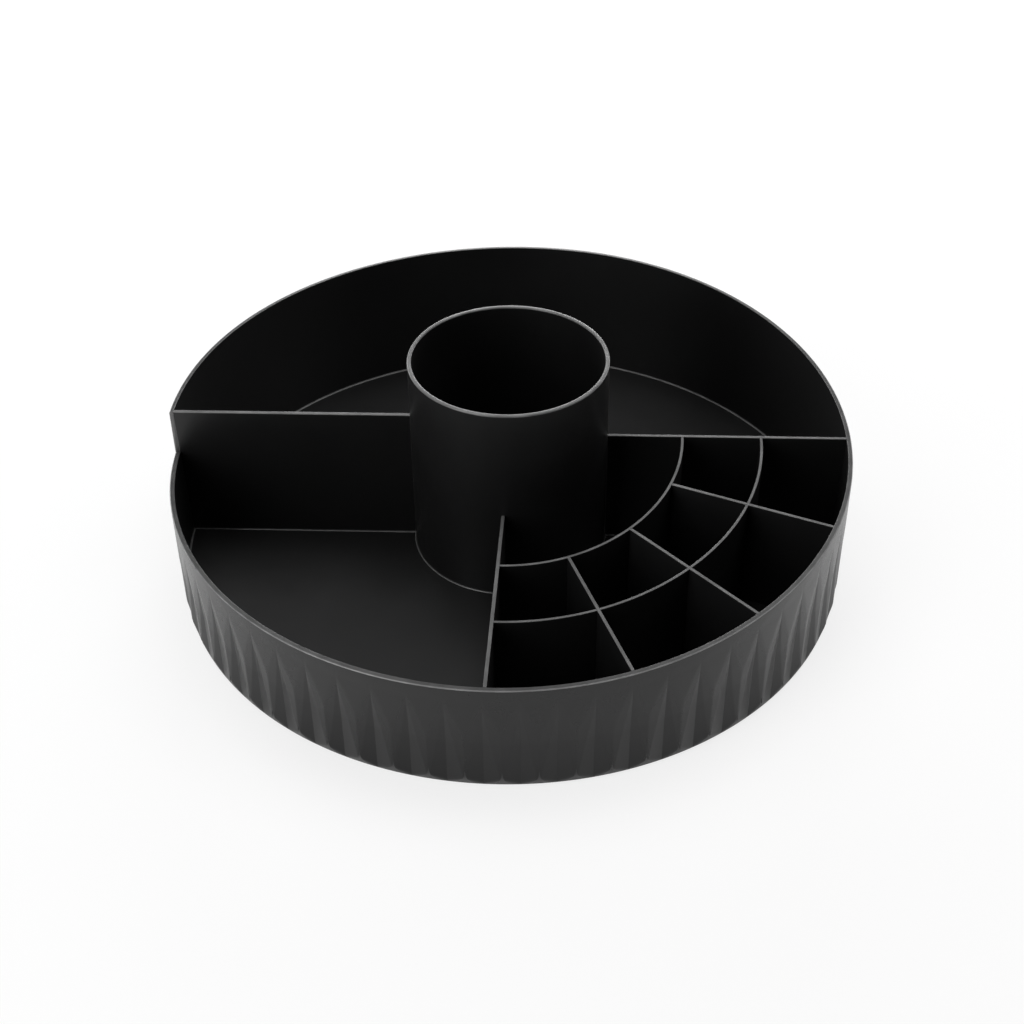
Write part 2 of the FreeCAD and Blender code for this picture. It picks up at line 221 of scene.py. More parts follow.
def wall_inside(z):
    """Radius of the inside of the wall, which leans out from the floor to the tall rim."""
    tray = sizes("tray")
    share = (z - floor_height()) / (tray.tall_rim - floor_height())
    return tray.radius - tray.wall_at_floor + (tray.wall_at_floor - tray.wall_at_rim) * share


def step_azimuth():
    """Where the tall rim steps down to the low one, at the far side of the left divider."""
    dividers = sizes("dividers")
    half = dividers.left_thickness / 2
    return dividers.left + math.degrees(math.asin(half / sizes("tray").radius))


def rim_height(azimuth):
    """Height of the rim: an even S up the ramp, tall as far as the step, and low beyond."""
    tray = sizes("tray")
    past_low = (azimuth - tray.ramp_low) % 360.0
    if past_low > (step_azimuth() - tray.ramp_low) % 360.0 - STEP_SLACK:
        return tray.low_rim
    share = min(past_low / (tray.ramp_tall - tray.ramp_low), 1.0)
    return tray.low_rim + (tray.tall_rim - tray.low_rim) * share * share * (3.0 - 2.0 * share)


def quarter_up(centre_r, centre_z, radius, count=4):
    """From an outer wall round onto a level top."""
    return [(centre_r + radius * math.cos(math.radians(90 * k / count)),
             centre_z + radius * math.sin(math.radians(90 * k / count))) for k in range(count + 1)]


def quarter_in(centre_r, centre_z, radius, count=4):
    """From a level top round onto an inner wall."""
    return [(centre_r - radius * math.sin(math.radians(90 * k / count)),
             centre_z + radius * math.cos(math.radians(90 * k / count))) for k in range(count + 1)]


def joint_bead(side, floor, width):
    """A low bead on the floor along an upright side: its crest, half as high as the bead is wide,
    and the way down to the corner."""
    spots = [width * (1.0 - math.cos(math.radians(t))) for t in (60, 30, 0)]
    return [(side + spot, floor + spot) for spot in spots]


def outward_first(profile):
    """The closed profile, with its faces turned outward when it is spun."""
    area = 0.0
    for (r0, z0), (r1, z1) in zip(profile, profile[1:] + profile[:1]):
        area += r0 * z1 - r1 * z0
    return profile if area < 0 else profile[::-1]


class MeshDraft:
    """Vertices and faces of a piece. Each vertex has a share of painted edge highlight, and how far
    down its flute it is, from 0 at the tip to 1 at the lower edge."""

    def __init__(self):
        self.vertices = []
        self.faces = []
        self.rubbed = []
        self.fluted = []

    def vertex(self, place, rubbed=0.0, fluted=0.0):
        self.vertices.append(place)
        self.rubbed.append(rubbed)
        self.fluted.append(fluted)
        return len(self.vertices) - 1

    def face(self, corners):
        """One face, without corners that repeat."""
        kept = [c for c, after in zip(corners, corners[1:] + corners[:1]) if c != after]
        if len(set(kept)) > 2:
            self.faces.append(kept)

    def strip(self, left, right):
        """Faces between two chains of vertices: quads, or one face where their counts differ."""
        if len(left) != len(right):
            self.face(left + right[::-1])
            return
        for k in range(len(left) - 1):
            self.face([left[k], left[k + 1], right[k + 1], right[k]])

    def spin(self, profile, segments, rubbed=None):
        """A closed (radius, z) profile turned about the axis. Points on the axis become poles."""
        closed = outward_first(profile)
        shares = {spot: share for spot, share in zip(profile, rubbed or [0.0] * len(profile))}
        poles = {spot: self.vertex(Vector((0, 0, spot[1])), shares[spot])
                 for spot in closed if spot[0] < TINY}
        chains = []
        for k in range(segments):
            turn = 360.0 * k / segments
            chains.append([poles[spot] if spot in poles else
                           self.vertex(point(spot[0], turn, spot[1]), shares[spot])
                           for spot in closed])
        for chain, after in zip(chains, chains[1:] + chains[:1]):
            self.strip(chain + chain[:1], after + after[:1])

    def prism(self, outline, thickness, azimuth, crown=()):
        """An outline of (radius, z) points, made into a board along one azimuth. A crown of points
        with painted highlight goes on top of the outline's last two."""
        along, across = directions(azimuth)
        sides = []
        for offset in (-thickness / 2, thickness / 2):
            places = [along * r + across * offset + Vector((0, 0, z)) for r, z in [*outline, *crown]]
            sides.append([self.vertex(place, 1.0 if k >= len(outline) else 0.0)
                          for k, place in enumerate(places)])
        near, far = sides
        count = len(outline)
        self.face(near[:count])
        self.face(far[:count][::-1])
        if crown:
            self.face([near[k] for k in (count - 2, count, count + 1, count - 1)])
            self.face([far[k] for k in (count - 1, count + 1, count, count - 2)])
        rim = [*range(count - 1), *range(count, count + len(crown)), count - 1]
        for k, after in zip(rim, rim[1:] + rim[:1]):
            self.face([near[k], far[k], far[after], near[after]])


def finish_piece(name, draft, body, replaced, material, bevel=0.0):
    """Turns a draft into an object that rides on its body and stands for its CAD nodes."""
    mesh = bpy.data.meshes.new(name)
    mesh.from_pydata([tuple(v) for v in draft.vertices], [], draft.faces)
    mesh.validate()
    for attribute, values in (("rubbed", draft.rubbed), ("fluted", draft.fluted)):
        mesh.attributes.new(attribute, 'FLOAT', 'POINT').data.foreach_set("value", values)
    mesh.shade_smooth()
    mesh.set_sharp_from_angle(angle=SMOOTH_ANGLE)
    piece = bpy.data.objects.new(name, mesh)
    bpy.context.scene.collection.objects.link(piece)
    mesh.materials.append(material)
    if bevel > 0.0:
        rounding = piece.modifiers.new("edge rounding", 'BEVEL')
        rounding.width = bevel
        rounding.segments = 3
        rounding.limit_method = 'ANGLE'
        rounding.angle_limit = SMOOTH_ANGLE
        rounding.harden_normals = False
    normals = piece.modifiers.new("even shading", 'WEIGHTED_NORMAL')
    normals.keep_sharp = True
    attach(piece, body)
    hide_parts(*replaced)


class Nodes:
    """Short words for building a node tree."""

    def __init__(self, tree):
        self.tree = tree

    def add(self, kind, values=None, **settings):
        node = self.tree.nodes.new(kind)
        for key, value in settings.items():
            setattr(node, key, value)
        for key, value in (values or {}).items():
            if isinstance(value, bpy.types.NodeSocket):
                self.tree.links.new(value, node.inputs[key])
            else:
                node.inputs[key].default_value = value
        return node

    def link(self, source, target):
        self.tree.links.new(source, target)

    def place(self):
        return self.add('ShaderNodeTexCoord').outputs["Object"]

    def noise(self, scale, detail=2.0, place=None):
        node = self.add('ShaderNodeTexNoise', {"Vector": place or self.place(), "Scale": scale,
                                               "Detail": detail})
        return node.outputs["Fac"]

    def ranged(self, value, low, high, start=0.0, end=1.0):
        node = self.add('ShaderNodeMapRange', {"Value": value, "From Min": start, "From Max": end,
                                               "To Min": low, "To Max": high})
        return node.outputs["Result"]

    def maths(self, operation, first, second, third=0.5):
        values = {0: first, 1: second, 2: third}
        return self.add('ShaderNodeMath', values, operation=operation).outputs[0]

    def attribute(self, name):
        return self.add('ShaderNodeAttribute', attribute_name=name).outputs["Fac"]

    def radius(self):
        """Distance from the turning axis."""
        split = self.add('ShaderNodeSeparateXYZ', {0: self.place()}).outputs
        across = self.add('ShaderNodeCombineXYZ', {0: split[0], 1: split[1]}).outputs[0]
        return self.add('ShaderNodeVectorMath', {0: across}, operation='LENGTH').outputs["Value"]

    def groove(self, flutes):
        """Depth of a groove in each flute, as a share of the flute's depth. It is narrow at the tip
        and as wide as the flute at the lower edge."""
        split = self.add('ShaderNodeSeparateXYZ', {0: self.place()}).outputs
        turn = self.maths('ARCTAN2', split[1], split[0])
        past_valley = self.maths('SUBTRACT', turn, math.radians(flutes.azimuth))
        count = self.maths('MULTIPLY', past_valley, flutes.count / math.tau)
        across = self.maths('SMOOTH_MAX', self.maths('PINGPONG', count, 0.5), 0.0, 0.04)
        side = self.maths('MULTIPLY', across, 2.0)
        down = self.maths('MULTIPLY_ADD', self.attribute("fluted"), 1.1, -0.1)
        return self.maths('SMOOTH_MAX', self.maths('SUBTRACT', down, side), 0.0, 0.1)

    def mixed(self, share, first, second):
        node = self.add('ShaderNodeMix', data_type='RGBA')
        for socket, value in ((0, share), (6, first), (7, second)):
            if isinstance(value, bpy.types.NodeSocket):
                self.link(value, node.inputs[socket])
            elif socket:
                node.inputs[socket].default_value = (*value, 1.0)
            else:
                node.inputs[socket].default_value = value
        return node.outputs[2]

    def bump(self, height, strength, distance, before=None):
        node = self.add('ShaderNodeBump', {"Height": height, "Strength": strength,
                                           "Distance": distance})
        if before is not None:
            self.link(before, node.inputs["Normal"])
        return node.outputs["Normal"]

    def shown(self, seen, mirrored):
        """One share where the camera looks, and another in reflections and through clear things."""
        path = self.add('ShaderNodeLightPath').outputs
        bounced = self.maths('MAXIMUM', path["Is Glossy Ray"], path["Is Transmission Ray"])
        return self.maths('MAXIMUM', self.maths('MULTIPLY', path["Is Camera Ray"], seen),
                          self.maths('MULTIPLY', bounced, mirrored))


class Finish(Nodes):
    """A new material with its shader."""

    def __init__(self, name):
        self.material = bpy.data.materials.new(name)
        self.material.use_nodes = True
        super().__init__(self.material.node_tree)
        self.shader = self.tree.nodes["Principled BSDF"]
        self.output = self.tree.nodes["Material Output"]

    def surface(self, tone=None, roughness=None, normal=None):
        """Links what is given to the shader, in place of what was linked before."""
        for socket, value in (("Base Color", tone), ("Roughness", roughness), ("Normal", normal)):
            if value is not None:
                self.link(value, self.shader.inputs[socket])


def toned(base, share):
    """The colour made darker or lighter."""
    return tuple(share * c for c in base)


def moulded_plastic(name, base, painted_highlight, roughness=0.36, grain=1.0):
    """Matt moulded plastic: a fine spark texture and faint flow marks. Edges get a painted highlight,
    a lighter colour, and are a little smoother there.
    """
    made = Finish(name)
    place = made.place()
    fine = made.noise(2600.0, 3.0, place)
    broad = made.noise(26.0, 4.0, place)
    smear = made.noise(140.0, 3.0, place)
    # Painted highlight: the vertex share, broken up by noise, mixes the lighter grey into the colour
    # and lowers the roughness
    highlight_mask = made.maths('MULTIPLY', made.attribute("rubbed"), made.ranged(smear, 0.6, 1.0, 0.3, 0.7))
    tinted = made.mixed(broad, toned(base, 0.88), toned(base, 1.12))
    uneven = made.ranged(broad, roughness - 0.02, roughness + 0.02, 0.3, 0.7)
    rough = made.maths('ADD', uneven, made.ranged(smear, -0.01, 0.01, 0.3, 0.7))
    made.rough = made.maths('ADD', rough, made.maths('MULTIPLY', highlight_mask, -0.08))
    made.normal = made.bump(broad, 0.02, 0.0004, made.bump(fine, 0.25 * grain, 0.00004))
    made.surface(made.mixed(highlight_mask, tinted, painted_highlight), made.rough, made.normal)
    made.shader.inputs["IOR"].default_value = 1.46
    return made


def tray_plastic(name, base, painted_highlight, inside, flutes):
    """The same plastic for the tray: more matt inside, and with crisp grooves in the flutes."""
    made = moulded_plastic(name, base, painted_highlight, 0.26)
    matt = made.ranged(made.radius(), 0.14, 0.0, inside - MM, inside + MM)
    depth = made.maths('MULTIPLY', made.groove(flutes), -flutes.crispness * flutes.depth)
    made.surface(roughness=made.maths('ADD', made.rough, matt),
                 normal=made.bump(depth, 1.0, 1.0, made.normal))
    return made.material


def turned_steel(name, base, roughness, rings):
    """Steel with fine turning marks round the axis."""
    made = Finish(name)
    marks = made.add('ShaderNodeTexNoise', {"W": made.radius(), "Scale": rings, "Detail": 3.0},
                     noise_dimensions='1D').outputs["Fac"]
    spots = made.noise(180.0, 4.0)
    tone = made.mixed(made.ranged(spots, 0.0, 1.0, 0.35, 0.65), toned(base, 0.8), base)
    rough = made.ranged(marks, roughness, roughness + 0.12)
    made.surface(tone, made.maths('ADD', rough, made.ranged(spots, -0.04, 0.04)),
                 made.bump(marks, 0.3, 0.00003))
    made.shader.inputs["Metallic"].default_value = 1.0
    return made.material


def natural_nylon(name, base):
    """Unpigmented nylon: waxy, slightly translucent and mottled."""
    made = Finish(name)
    place = made.place()
    cloudy = made.noise(90.0, 3.0, place)
    fine = made.noise(1500.0, 2.0, place)
    made.surface(made.mixed(cloudy, toned(base, 0.9), base), made.ranged(cloudy, 0.38, 0.52),
                 made.bump(fine, 0.2, 0.00004))
    made.shader.inputs["Subsurface Weight"].default_value = 0.08
    made.shader.inputs["Subsurface Radius"].default_value = (0.001, 0.001, 0.001)
    return made.material


def foot_rubber(name, base):
    """Matt rubber with a dusty bloom."""
    made = Finish(name)
    place = made.place()
    bloom = made.noise(220.0, 5.0, place)
    fine = made.noise(3200.0, 2.0, place)
    dusty = made.ranged(bloom, 0.0, 1.0, 0.4, 0.75)
    made.surface(made.mixed(dusty, base, toned(base, 2.2)), made.ranged(bloom, 0.72, 0.88),
                 made.bump(fine, 0.35, 0.00005))
    return made.material


def white_sheet(name, base, seen, mirrored):
    """Pale floor that takes the object's shadow. Where the camera sees it, it is blended most of the
    way to white, and where it shows in a reflection or through something, a little."""
    made = Finish(name)
    grain = made.noise(6.0, 3.0)
    made.surface(made.mixed(grain, toned(base, 0.985), base),
                 made.ranged(made.noise(300.0), 0.62, 0.7))
    made.shader.inputs["Specular IOR Level"].default_value = 0.15
    white = made.add('ShaderNodeEmission', {"Color": (1.0, 1.0, 1.0, 1.0), "Strength": 1.0})
    blend = made.add('ShaderNodeMixShader', {0: made.shown(seen, mirrored),
                                             1: made.shader.outputs[0], 2: white.outputs[0]})
    made.link(blend.outputs[0], made.output.inputs["Surface"])
    return made.material


class TrayWall:
    """The wall of the tray as columns of vertices that follow the flutes, from the lower edge over
    the rim and down to the floor, across the underside and back."""

    rows = 40                    # from the bevel to the low rim
    ext_row = 1.6 * MM           # spacing of the rows above the low rim
    steps = 7                    # columns to each side of a valley
    end_gap = 0.08               # degrees beside the step that hold no column
    flush = 0.05 * MM            # a rim this little above the low one has no rows of its own
    evened = 0.7                 # share of the smooth band in which the columns even out
    bevel_limit = 14.0 * MM      # most that the bevel rises above the lower edge
    bevel_least = 0.06 * MM      # and least
    floor_loops = (120.0 * MM, 90.0 * MM, 60.0 * MM)    # radii that keep the faces short
    underside_loop = 110.0 * MM
    edge_highlit = 0.5              # share of painted highlight at the lower edge
    joint_highlit = 0.6             # and in the cove round the floor
    rim_highlit = (1.0, 1.0, 0.7, 0.25, 0.25, 0.5, 0.5, 0.0)    # and over the rim, from outside
    rooted = 0.5 * MM            # how far ribs run into the floor, and twice that into the skirt

    def __init__(self):
        self.tray = sizes("tray")
        self.flutes = sizes("flutes")
        self.dividers = sizes("dividers")
        self.floor = floor_height()
        self.pitch = 360.0 / self.flutes.count
        self.half = math.radians(self.pitch / 2) * self.tray.radius
        ridge = self.tray.radius - self.flutes.ridge_depth
        turn = math.radians(self.pitch / 2)
        self.slope = ((ridge * math.cos(turn) - (self.tray.radius - self.flutes.depth))
                      / (ridge * math.sin(turn)))
        self.per_degree = math.radians(1.0) * self.tray.radius
        self.step = step_azimuth() - 360.0
        self.draft = MeshDraft()

    def valley(self, azimuth):
        """Azimuth of the nearest valley."""
        turns = round((azimuth - self.flutes.azimuth) / self.pitch)
        return self.flutes.azimuth + turns * self.pitch

    def depth_at_valley(self, valley, z):
        """The valley deepens from its tip to halfway down, and runs straight from there."""
        top = rim_height(valley) - self.flutes.top_gap
        full = (top + self.tray.bottom) / 2
        return self.flutes.depth * min((top - z) / (top - full), 1.0)

    def fluted(self, azimuth, z):
        """How far down its flute a point is."""
        top = rim_height(self.valley(azimuth)) - self.flutes.top_gap
        return max(top - z, 0.0) / (top - self.tray.bottom)

    def depth(self, azimuth, z):
        """How deep the flutes lie under the round wall at a point."""
        deepest = 0.0
        nearest = self.valley(azimuth)
        for valley in (nearest - self.pitch, nearest, nearest + self.pitch):
            across = abs(azimuth - valley) * self.per_degree
            facet = self.slope * math.hypot(across, self.flutes.crease)
            bulge = across * across / (2 * self.tray.radius)
            deepest = self.rounded(deepest, self.depth_at_valley(valley, z) - facet - bulge)
        return deepest

    def rounded(self, first, second):
        """The deeper of two cuts, with the edge between them rounded."""
        blend = 2 * self.slope * self.flutes.softness
        overlap = max(blend - abs(first - second), 0.0) / blend
        return max(first, second) + overlap * overlap * blend / 4

    def bevel_radius(self, z):
        rise = math.tan(math.radians(self.flutes.bevel_angle))
        return self.tray.radius - self.flutes.depth + (z - self.tray.bottom) * rise

    def bevel_top(self, azimuth):
        """Height where the bevel of the lower edge meets the flutes."""
        low, high = self.tray.bottom, self.tray.bottom + self.bevel_limit
        for _ in range(24):
            middle = (low + high) / 2
            if self.tray.radius - self.depth(azimuth, middle) > self.bevel_radius(middle):
                low = middle
            else:
                high = middle
        return max(low, self.tray.bottom + self.bevel_least)

    def even(self, step):
        """Evenly spread columns, in metres from the valley."""
        return self.half * step / self.steps

    def gathered(self, step, valley, z):
        """Columns gathered at the valley and at the rounded edge of the facet."""
        facet = min(max(self.depth_at_valley(valley, z), 0.0) / self.slope, self.half)
        soft = min(self.flutes.softness, facet / 2)
        spots = (0.0, self.flutes.crease, (facet - soft) / 2, facet - soft, facet - soft / 3,
                 facet + soft / 3, facet + soft, self.half)
        apart = self.flutes.crease
        room = self.half - (self.steps - step) * apart
        return min(max(spots[step], step * apart), room)

    def across(self, step, valley, z):
        """Column positions: gathered at the creases, and evening out above the tip of the flute."""
        tip = rim_height(valley) - self.flutes.top_gap
        share = min(max((z - tip) / (self.evened * self.flutes.top_gap), 0.0), 1.0)
        return (1 - share) * self.gathered(step, valley, z) + share * self.even(step)

    def columns(self):
        """(nominal azimuth, valley, signed step) of each column, from the step round to it again.
        The flute with the step in it keeps even columns, one of them at the step."""
        step_valley = self.valley(self.step + 360.0)
        found = []
        first = math.ceil((self.step - self.flutes.azimuth) / self.pitch - 0.5)
        for k in range(first, first + self.flutes.count):
            valley = self.flutes.azimuth + k * self.pitch
            split = abs((valley - step_valley + 180.0) % 360.0 - 180.0) < STEP_SLACK
            for step in range(-self.steps + 1, self.steps + 1):
                offset = math.copysign(self.even(abs(step)), step) / self.per_degree
                found.append((valley + offset, valley, None if split else step))
        past = [column for column in found if column[0] > self.step + self.end_gap]
        before = [(azimuth + 360.0, valley + 360.0, step) for azimuth, valley, step in found
                  if azimuth < self.step - self.end_gap]
        return past + before

    def outer(self, nominal, valley, step, z):
        """A vertex of the outside at a height."""
        azimuth = nominal
        if step is not None:
            offset = math.copysign(self.across(abs(step), valley, z), step)
            azimuth = valley + offset / self.per_degree
        place = point(self.tray.radius - self.depth(azimuth, z), azimuth, z)
        return self.draft.vertex(place, fluted=self.fluted(nominal, z))

    def base_top(self, nominal):
        """Top of the rows that all columns share, and how far the rim stands above it."""
        rise = rim_height(nominal) - self.tray.low_rim
        shared = self.tray.low_rim - self.tray.rim_fillet
        return (shared + rise, 0.0) if rise < self.flush else (shared, rise)

    def lower_rows(self, nominal, valley, step):
        top, _ = self.base_top(nominal)
        bevel = self.bevel_top(nominal)
        made = [self.draft.vertex(point(self.bevel_radius(self.tray.bottom), nominal,
                                        self.tray.bottom), self.edge_highlit, 1.0)]
        for row in range(self.rows + 1):
            z = bevel + (top - bevel) * row / self.rows
            made.append(self.outer(nominal, valley, step, z))
        return made

    def upper_rows(self, nominal, valley, step):
        top, rise = self.base_top(nominal)
        count = math.ceil(rise / self.ext_row)
        return [self.outer(nominal, valley, step, top + rise * (k + 1) / count)
                for k in range(count)]

    def rim(self, nominal):
        """Outer fillet, flat top and inner edge of the rim."""
        height = rim_height(nominal)
        fillet, inner = self.tray.rim_fillet, self.tray.inner_fillet
        inside = wall_inside(height)
        outer = quarter_up(self.tray.radius - fillet, height - fillet, fillet)[1:]
        edge = quarter_in(inside + inner, height - inner, inner, 3)
        return [self.draft.vertex(point(r, nominal, z), share)
                for (r, z), share in zip(outer + edge, self.rim_highlit)]

    def inside(self, nominal):
        """The inner wall, the cove, the floor, the hub, the underside and the skirt."""
        cove = self.tray.cove
        foot = wall_inside(self.floor + cove)
        shared = self.tray.low_rim - 2 * self.tray.inner_fillet
        coved_to = self.floor + cove + HIGHLIGHT_BAND
        profile = [(wall_inside(shared), shared), (wall_inside(coved_to), coved_to)]
        profile += [(foot - cove + cove * math.cos(math.radians(t)),
                     self.floor + cove - cove * math.sin(math.radians(t))) for t in (0, 30, 60, 90)]
        coved = range(2, len(profile))
        gap = self.dividers.clearance
        race_out, race_top = box_reach("upper_race") + gap, box_top("upper_race")
        race_in = box_reach("upper_race") - self.tray.race_width - gap
        hub, bore = box_reach("hub_bush") + self.tray.hub_wall, self.tray.bore
        hub_top, hub_bottom = box_top("hub_bush") - self.tray.flange, box_bottom("hub_bush")
        underside = self.floor - self.tray.floor_thickness
        skirt = self.tray.radius - self.tray.skirt_wall
        profile += [(r, self.floor) for r in (foot - cove - HIGHLIGHT_BAND, *self.floor_loops, hub)]
        profile += [(hub, hub_top), (bore, hub_top), (bore, hub_bottom), (hub, hub_bottom),
                    (hub, underside), (race_in, underside), (race_in, race_top),
                    (race_out, race_top), (race_out, underside), (self.underside_loop, underside),
                    (skirt, underside), (skirt, self.tray.bottom)]
        return [self.draft.vertex(point(r, nominal, z), self.joint_highlit if k in coved else 0.0)
                for k, (r, z) in enumerate(profile)]

    def build(self):
        columns = []
        for nominal, valley, step in self.columns():
            columns.append(self.column(nominal, valley, step))
        first = self.column(self.step, self.valley(self.step), None)
        columns.insert(0, first)
        tall = self.tall_end(first)
        for left, right in zip(columns, columns[1:] + [tall]):
            self.draft.strip(right["lower"], left["lower"])
            self.draft.strip(right["lower"][-1:] + right["upper"],
                             left["lower"][-1:] + left["upper"])
            self.draft.strip(self.tail(right), self.tail(left))
        cap = first["lower"][-1:] + tall["upper"] + tall["rim"] + first["inside"][:1]
        self.draft.face(first["rim"] + cap[::-1])
        self.ribs()
        return self.draft

    def tail(self, column):
        top = (column["lower"] + column["upper"])[-1]
        return [top] + column["rim"] + column["inside"] + column["lower"][:1]

    def column(self, nominal, valley, step):
        return {"lower": self.lower_rows(nominal, valley, step),
                "upper": self.upper_rows(nominal, valley, step),
                "rim": self.rim(nominal), "inside": self.inside(nominal)}

    def tall_end(self, first):
        """The column at the step again, on its tall side: only what stands above is new."""
        nominal = self.dividers.left
        rise = self.tray.tall_rim - self.tray.low_rim
        count = math.ceil(rise / self.ext_row)
        start = self.tray.low_rim - self.tray.rim_fillet
        upper = []
        for k in range(count):
            z = start + rise * (k + 1) / count
            radius = self.tray.radius - self.depth(self.step + 360.0, z)
            # the upright edge at the step gets the full painted highlight
            upper.append(self.draft.vertex(point(radius, self.step, z), 1.0))
        before = len(self.draft.vertices)
        self.rim(nominal)
        turn = Matrix.Rotation(math.radians(self.step - nominal), 4, 'Z')
        for k in range(before, len(self.draft.vertices)):
            self.draft.vertices[k] = turn @ self.draft.vertices[k]
        rim = list(range(before, len(self.draft.vertices)))
        return {"lower": first["lower"], "upper": upper, "rim": rim, "inside": first["inside"]}

    def ribs(self):
        """Radial ribs under the floor, between the base disc and the skirt."""
        tray = self.tray
        underside = self.floor - tray.floor_thickness
        low, root = underside - tray.rib_height, underside + self.rooted
        start = box_reach("base_disc") + tray.rib_gap
        end = tray.radius - tray.skirt_wall + 2 * self.rooted
        outline = [(start, low), (end, low), (end, root), (start, root)]
        for k in range(tray.rib_count):
            self.draft.prism(outline, tray.rib_thickness, 360.0 / tray.rib_count * (k + 0.5))


class ORGANIZER_OT_tray_shell(bpy.types.Operator):
    """Build the fluted tray with its ramped rim"""
    bl_idname = "organizer.tray_shell"
    bl_label = "Tray Shell"

    def execute(self, context):
        finish = sizes("finish")
        inside = sizes("tray").radius - sizes("tray").wall_at_rim / 2
        # the tray's rim, lower edge and cove take the rim's lighter grey as painted highlight
        material = tray_plastic("tray black", finish.tray, finish.rim_highlight_grey, inside, sizes("flutes"))
        finish_piece("tray", TrayWall().build(), "tray", ["tray_shell"], material)
        return {'FINISHED'}


class ORGANIZER_OT_centre_cup(bpy.types.Operator):
    """Build the brush cup and the disc that is its floor"""
    bl_idname = "organizer.centre_cup"
    bl_label = "Centre Cup"

    def execute(self, context):
        finish, cup, cove = sizes("finish"), sizes("cup"), sizes("tray").cove
        material = moulded_plastic("cup black", finish.cup, finish.painted_highlight).material
        floor, foot = floor_height(), box_bottom("centre_cup")
        inner, fillet = cup.radius - cup.wall, cup.rim_fillet
        ledge_top = box_bottom("cup_floor_disc")
        ledge_bottom, ledge = ledge_top - cup.ledge_thickness, inner - cup.ledge_width
        profile = [(inner, foot), (cup.radius + cove, foot), (cup.radius + cove, floor)]
        profile += joint_bead(cup.radius, floor, cove)
        highlit_from, highlit_to = cup.top - fillet - HIGHLIGHT_BAND, floor + cove + HIGHLIGHT_BAND
        profile += [(cup.radius, highlit_to), (cup.radius, highlit_from)]
        profile += quarter_up(cup.radius - fillet, cup.top - fillet, fillet)
        profile += quarter_in(inner + fillet, cup.top - fillet, fillet)
        profile += [(inner, highlit_from), (inner, ledge_top), (ledge, ledge_top),
                    (ledge, ledge_bottom), (inner, ledge_bottom)]
        # painted highlight on the cup's rim and along the bead at its foot
        rubbed = [1.0 if z > highlit_from or r >= cup.radius and z < highlit_to else 0.0
                  for r, z in profile]
        draft = MeshDraft()
        draft.spin(profile, segments=240, rubbed=rubbed)
        finish_piece("cup", draft, "tray", ["centre_cup"], material)
        self.floor_disc(material)
        return {'FINISHED'}

    def floor_disc(self, material):
        """The disc, with a shallow gate recess in its middle."""
        low, high = node_boxes["cup_floor_disc"]
        cup = sizes("cup")
        radius, chamfer, recess = high.x, cup.disc_chamfer, high.z - cup.gate_depth
        profile = [(0.0, low.z), (radius, low.z), (radius, high.z - chamfer),
                   (radius - chamfer, high.z), (2 * cup.gate, high.z), (cup.gate, recess),
                   (0.0, recess)]
        draft = MeshDraft()
        draft.spin(profile, segments=160)
        finish_piece("cup_floor", draft, "tray", ["cup_floor_disc"], material)


def board_section(thickness, height, fillet, cove, floor, foot):
    """Cross-section of a divider: rounded top, upright faces and a bead along each foot."""
    half = thickness / 2
    side = [(half + cove, foot), (half + cove, floor), *joint_bead(half, floor, cove)]
    side += [(half, floor + cove + HIGHLIGHT_BAND), (half, height - fillet - HIGHLIGHT_BAND)]
    side += quarter_up(half - fillet, height - fillet, fillet, 3)
    return side + [(-y, z) for y, z in reversed(side)]


def flat_divider(azimuth, thickness, height):
    """A divider from the cup to the wall, its outer end leaning with the wall."""
    dividers, cup = sizes("dividers"), sizes("cup")
    floor, cove = floor_height(), sizes("tray").cove
    foot, highlit_to = box_bottom("left_divider"), floor + cove + HIGHLIGHT_BAND
    highlit_from = height - dividers.top_fillet - HIGHLIGHT_BAND
    section = board_section(thickness, height, dividers.top_fillet, cove, floor, foot)
    # Shares of the length, and how much painted highlight the faces carry there: a thin line of
    # painted highlight shows at the joint with the cup.
    stations = ((0.0, 0.5), (0.003, 0.0), (0.5, 0.0), (1.0, 0.0))
    draft = MeshDraft()
    along, across = directions(azimuth)
    rings = []
    for share, joint in stations:
        ring = []
        for offset, z in section:
            start = math.sqrt((cup.radius + dividers.clearance) ** 2 - offset ** 2)
            end = math.sqrt((wall_inside(z) - dividers.clearance) ** 2 - offset ** 2)
            radius = start + (end - start) * share
            painted_highlight = joint if highlit_to - TINY < z < highlit_from + TINY else 1.0
            ring.append(draft.vertex(along * radius + across * offset + Vector((0, 0, z)), painted_highlight))
        rings.append(ring)
    for near, far in zip(rings, rings[1:]):
        draft.strip(near + near[:1], far + far[:1])
    draft.face(rings[0][::-1])
    draft.face(rings[-1])
    return draft


class ORGANIZER_OT_dividers(bpy.types.Operator):
    """Build the tall left divider and the right and front dividers"""
    bl_idname = "organizer.dividers"
    bl_label = "Dividers"

    def execute(self, context):
        finish, dividers, tray = sizes("finish"), sizes("dividers"), sizes("tray")
        material = moulded_plastic("divider black", finish.divider, finish.painted_highlight).material
        places = (("left_divider", dividers.left, dividers.left_thickness, tray.tall_rim),
                  ("right_divider", dividers.right, dividers.thickness, rim_height(dividers.right)),
                  ("front_divider", dividers.front, dividers.thickness, rim_height(dividers.front)))
        for node, azimuth, thickness, height in places:
            draft = flat_divider(azimuth, thickness, height)
            finish_piece(node.replace("divider", "board"), draft, "tray", [node],
                         material)
        return {'FINISHED'}


def lap_height():
    """The outer arc and the radial walls hook into each other halfway up the low rim."""
    return (floor_height() + sizes("tray").low_rim) / 2


def radial_walls():
    """Azimuth of each flat wall of the fan, by its node."""
    dividers = sizes("dividers")
    return {"radial_wall_right": dividers.wall_right, "radial_wall_middle": dividers.wall_middle,
            "radial_wall_front": dividers.wall_front}


